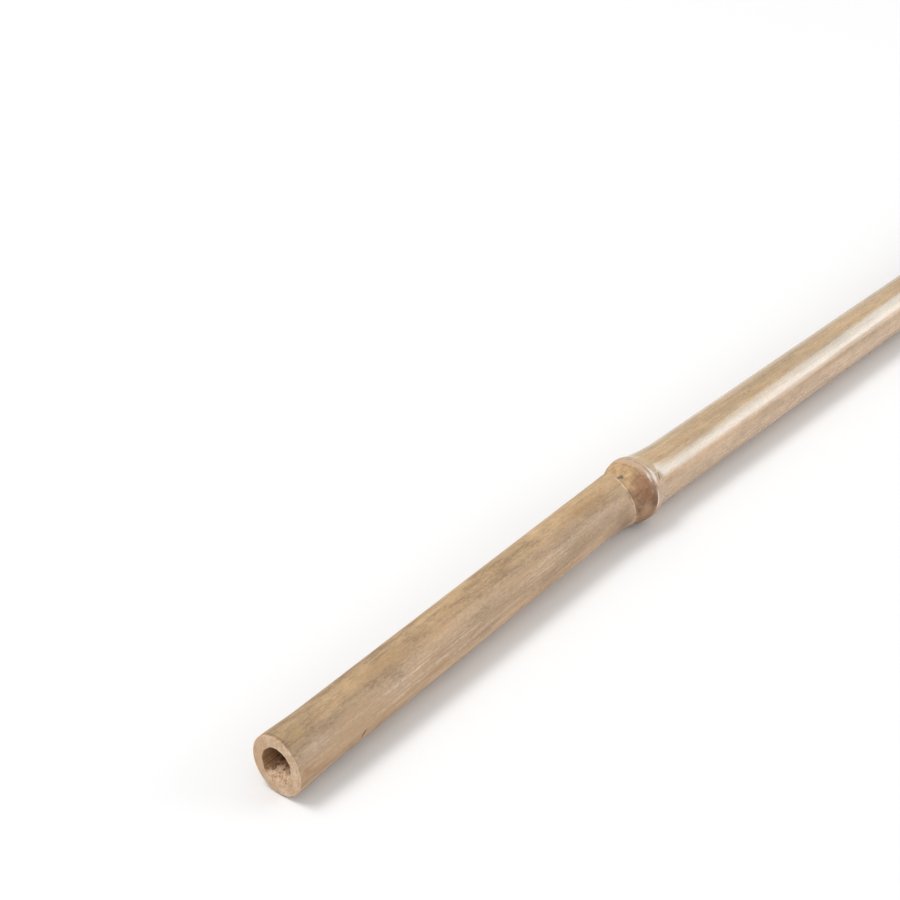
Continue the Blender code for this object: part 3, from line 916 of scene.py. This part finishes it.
def skin_rings(n, colour):
    """The scar's lip, the dark line behind it (painted shadow), the ridge's crest and cracks, and soot on the
    upper scars.
    """
    wander = n.about(n.torn, 0.9)
    shows = n.most(n.step(n.facing(152), 0.30, 0.70), n.mul(n.upper, 0.8))
    at_lip = n.add(n.ridge, wander)
    lip = n.product(n.hump(at_lip, -10.9, 0.36, 0.7), n.step(n.torn, 0.38, 0.54), shows)
    colour = n.tint(n.mul(lip, 0.7), colour, 216, 190, 166)
    # Painted shadow: a dark line just behind the lip, where the lip shades the groove
    line = n.product(n.hump(at_lip, -10.3, 0.40, 0.7), n.step(n.grain, 0.40, 0.56), shows)
    colour = n.tint(n.mul(line, 0.75), colour, 92, 66, 50)
    crest = n.mul(n.hump(n.add(n.ridge, n.mul(wander, 0.8)), 0.2, 1.8, 0.9), n.step(n.grain, 0.36, 0.56))
    ring_top = n.product(n.hump(n.ridge, -0.5, 1.9, 0.6), n.step(n.facing(82), 0.30, 0.80))
    colour = n.tint(n.mul(n.most(crest, ring_top), 0.6), colour, 204, 176, 154, 1.15)
    for place, half in RIDGE_CRACKS:
        crack = n.hump(n.add(n.ridge, n.mul(wander, 2.2)), place, half, 0.7)
        crack = n.product(crack, n.step(n.torn, 0.42, 0.54), n.step(n.facing(82), 0.1, 0.6))
        colour = n.tint(n.mul(crack, 0.65), colour, 126, 92, 74)
    dirt = n.noise(n.stretched(1.6, 1.3, 6.0), 4.0, 0.75)
    place = n.noise(n.stretched(16, 6.5, 8.0), 1.0)
    soot = n.add(n.hump(at_lip, -10.2, 1.1, 0.8), n.mul(n.hump(n.ridge, -6.0, 8.0, 0.9), 0.55))
    soot = n.product(n.upper, n.step(n.add(n.mul(soot, 0.30), n.mul(n.add(dirt, place), 0.5)), 0.66, 0.74))
    return n.tint(n.mul(soot, 0.85), colour, 66, 58, 50)


def skin_marks(n, colour):
    """The branches' scars on the upper nodes, and this cane's own marks."""
    for ridge, side in zip(NODE_PLACES[1:], BRANCH_SIDES[1:]):
        for shift, long, wide, shown in BRANCH_SCAR:
            here = n.mark((ridge + BOSS_PLACE) / MM + shift, side, long, wide, soft=0.45, ragged=0.6)
            colour = n.tint(n.mul(here, 0.9), colour, *shown)
    for along, degrees, long, wide, slant, soft, ragged, share, shown in MARKS:
        here = n.mul(n.mark(along, degrees, long, wide, slant, soft, ragged), share)
        colour = n.tint(here, colour, *shown)
    return colour


def skin_at_butt(n, colour):
    """The split (painted shade inside), its lifted edge and the saw's dark rim: their colour, and where the
    split is.
    """
    slant = math.degrees(NICK_SLANT)
    # Painted shade: the split is coloured dark inside, where shade falls in it
    slit = n.mark(*NICK, 1.75, 0.34, slant, 0.5, 0.25)
    colour = n.tint(n.mul(slit, 0.95), colour, 60, 38, 22)
    torn_edge = n.mark(NICK[0] + 0.5, NICK[1] + 4.5, 1.5, 0.30, slant, 0.6, 0.3)
    colour = n.tint(n.mul(torn_edge, 0.6), colour, 214, 176, 138)
    peel = n.sub(n.aside(NICK[1]), n.mul(n.sub(NICK[0], n.along), 0.045))
    before = n.step(n.along, 23.0, 17.0)
    colour = n.tint(n.product(n.hump(peel, 0.05, 0.30), before, 0.6), colour, 142, 104, 74)
    colour = n.tint(n.product(n.hump(peel, 0.55, 0.40), before, 0.45), colour, 206, 174, 142)
    rim = n.mul(n.hump(n.along, 0.95, 0.28, 0.7), n.step(n.facing(84), 0.74, 0.95))
    return n.tint(n.mul(rim, 0.7), colour, 118, 88, 62), slit


def skin_material():
    """Bamboo skin: weathered and matte in the butt stretch, waxy above it, brown on the nodes' bands."""
    n = Skin("bamboo_skin")
    colour, band = skin_band(n, skin_unevenness(n, skin_ground(n)))
    colour, slit = skin_at_butt(n, skin_marks(n, skin_rings(n, colour)))
    fibres = n.add(n.mul(n.middle, 0.45), n.add(n.mul(n.fine, 0.35), n.product(n.dash, n.weathered, 0.5)))
    rough = n.add(WAXY, n.add(n.about(n.middle, 0.35), n.about(n.dash, 0.25)))
    rough = n.mix(n.weathered, n.joined(rough, rough, rough), (MATTE, MATTE, MATTE))
    waxed = n.sub(1.0, n.hump(n.ridge, -0.6, 2.6, 0.8))
    rough = n.add(n.parts(rough)[0], n.product(band, waxed, 0.30))
    height = n.add(fibres, n.product(band, n.add(n.ring, n.grain), 1.2))
    height = n.sub(height, n.mul(slit, 3.0))
    return n.finish(colour, rough, n.bump(height, 0.00005), 0.5)


def cut_material():
    """A sawn face: pale wood, dotted with the ends of its fibres, which crowd towards the skin."""
    n = Nodes("bamboo_cut")
    place = n.tree.nodes.new("ShaderNodeTexCoord").outputs["Object"]
    x, y, z = n.parts(place)
    across, up = n.mul(y, 1 / MM), n.mul(z, 1 / MM)
    plane = n.joined(0.0, across, up)
    cloud = n.noise(plane, 3.0, 0.6, 0.35)
    colour = n.mix(n.step(cloud, 0.38, 0.62), tone(196, 165, 133, 0.92), tone(207, 183, 157, 0.90))
    patch = n.noise(plane, 4.0, 0.65, 0.9)
    colour = n.tint(n.mul(n.step(patch, 0.54, 0.68), 0.5), colour, 184, 144, 106, 1.0)
    spot, kind = n.cells(plane, 1.35)
    dots = n.mul(n.step(spot, 0.36, 0.18), n.step(kind, 0.2, 0.6))
    colour = n.tint(n.mul(dots, 0.50), colour, 138, 102, 74)
    down = math.radians(BURST_SIDE)
    u, v = n.sub(across, BORE_MIDDLE[0]), n.sub(up, BORE_MIDDLE[1])
    colour = n.tint(n.mul(n.step(n.add(u, n.mul(cloud, 3.0)), 2.0, 9.0), 0.55), colour, 186, 148, 112, 0.92)
    low = n.step(n.add(n.mul(u, math.cos(down)), n.mul(v, math.sin(down))), 3.4, 5.2)
    far = n.math("SQRT", n.add(n.mul(u, u), n.mul(v, v)))
    shreds, kind = n.cells(n.joined(0.0, n.mul(y, 1500.0), n.mul(z, 700.0)))
    shreds = n.product(n.step(shreds, 0.44, 0.26), n.step(kind, 0.35, 0.55), n.step(far, 7.6, 6.2), low)
    shreds = n.mul(shreds, n.math("LESS_THAN", x, 0.0))
    colour = n.tint(n.mul(shreds, 0.65), colour, 150, 108, 72)
    saw = n.noise(n.joined(0.0, n.mul(y, 3400.0), n.mul(z, 420.0)), 2.0)
    colour = n.shade(colour, n.add(0.84, n.mul(saw, 0.32)))
    height = n.add(n.mul(saw, 0.6), n.mul(n.noise(plane, 3.0, 0.6, 3.0), 0.8))
    return n.finish(colour, 0.85, n.bump(height, 0.00009), 0.25)


def bore_material():
    """The hollow's wall: brown and fibrous where it is clean, pale where pith crumbles at the mouths."""
    n = Nodes("bamboo_bore")
    along, y, z = n.parts(n.attribute("grown"))
    depth = n.math("MINIMUM", along, n.sub(LENGTH / MM, along))
    lumps = n.noise(n.joined(n.mul(along, 0.9), n.mul(y, 0.6), n.mul(z, 0.6)), 4.0, 0.7)
    streak = n.noise(n.joined(n.mul(along, 0.06), y, z), 3.0)
    wall = n.mix(n.step(streak, 0.30, 0.70), tone(148, 109, 78, 1.1), tone(196, 156, 119, 1.1))
    wall = n.shade(wall, n.add(0.72, n.mul(lumps, 0.56)))
    down = math.radians(PITH_SIDE)
    side = n.add(n.mul(y, math.cos(down)), n.mul(z, math.sin(down)))
    low = n.step(n.add(side, n.about(lumps, 9.0)), 4.2, 7.0)
    pith = n.mul(low, n.step(n.add(depth, n.about(lumps, 12.0)), 8.5, 5.0))
    # Painted shade: the pith is darker brown at the lumps' low places, as shade between the crumbs
    pale = n.mix(n.step(lumps, 0.34, 0.50), tone(140, 108, 80, 0.9), tone(198, 164, 134, 0.80))
    pale = n.tint(n.step(lumps, 0.46, 0.60), pale, 214, 188, 160, 0.80)
    colour = n.mix(pith, wall, pale)
    rim = n.step(n.add(depth, n.about(lumps, 2.0)), 0.9, 0.1)
    colour = n.tint(n.mul(rim, 0.4), colour, 190, 152, 120)
    grit = n.noise(n.joined(n.mul(along, 2.2), n.mul(y, 2.2), n.mul(z, 2.2)), 3.0)
    return n.finish(colour, 0.9, n.bump(n.add(lumps, n.mul(grit, 0.6)), 0.00025), 0.15)


def make_floor():
    data = bpy.data.meshes.new("floor")
    half = FLOOR_HALF_SIZE
    corners = [(-half, -half, 0), (half, -half, 0), (half, half, 0), (-half, half, 0)]
    data.from_pydata(corners, [], [(0, 1, 2, 3)])
    floor = bpy.data.objects.new("floor", data)
    floor.location.z = -FLOOR_CLEARANCE
    bpy.context.scene.collection.objects.link(floor)
    material = bpy.data.materials.new("floor_paper")
    material.use_nodes = True
    shader = material.node_tree.nodes["Principled BSDF"]
    shader.inputs["Base Color"].default_value = (*FLOOR_COLOUR, 1)
    shader.inputs["Roughness"].default_value = 0.9
    shader.inputs["Specular IOR Level"].default_value = 0.1
    data.materials.append(material)


def make_light(name, direction, reach, size, power, colour):
    """A soft box that far from the point it is aimed at, in metres, in that direction."""
    lamp = bpy.data.lights.new(name, "AREA")
    lamp.shape = "RECTANGLE"
    lamp.size, lamp.size_y = size
    lamp.energy = power
    lamp.color = colour
    light = bpy.data.objects.new(name, lamp)
    away = Vector(direction).normalized()
    light.location = Vector(LIGHT_AIM) + away * reach
    light.rotation_mode = "QUATERNION"
    light.rotation_quaternion = away.to_track_quat("Z", "Y")
    light.visible_camera = False
    bpy.context.scene.collection.objects.link(light)
    return light


def make_world(strength, colour):
    world = bpy.data.worlds.new("studio")
    world.use_nodes = True
    background = world.node_tree.nodes["Background"]
    background.inputs["Color"].default_value = (*colour, 1)
    background.inputs["Strength"].default_value = strength
    bpy.context.scene.world = world


def make_camera():
    """The photo's view: where the camera stood over the butt, found from the cane's own edges."""
    data = bpy.data.cameras.new("camera")
    data.sensor_width = SENSOR_MM
    data.lens = LENS_MM
    camera = bpy.data.objects.new("camera", data)
    camera.location = Vector(CAMERA_PLACE) + Vector(FRAME_SHIFT)
    azimuth, elevation = map(math.radians, CAMERA_TURN)
    level = math.cos(elevation)
    back = Vector((math.sin(azimuth) * level, -math.cos(azimuth) * level, math.sin(elevation)))
    camera.rotation_mode = "QUATERNION"
    camera.rotation_quaternion = back.to_track_quat("Z", "Y")
    data.clip_start, data.clip_end = 0.01, 100.0
    bpy.context.scene.collection.objects.link(camera)
    bpy.context.scene.camera = camera


def main():
    bpy.context.scene.view_settings.view_transform = "Standard"
    culm = make_culm()
    for material in (skin_material(), cut_material(), bore_material()):
        culm.data.materials.append(material)
    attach(culm, "root")
    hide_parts("cane")
    make_floor()
    make_world(SKY_STRENGTH, SKY_COLOUR)
    for name, box in LIGHTS.items():
        light = make_light(name, *box)
        light.visible_diffuse = name != "gloss"
    make_camera()


main()
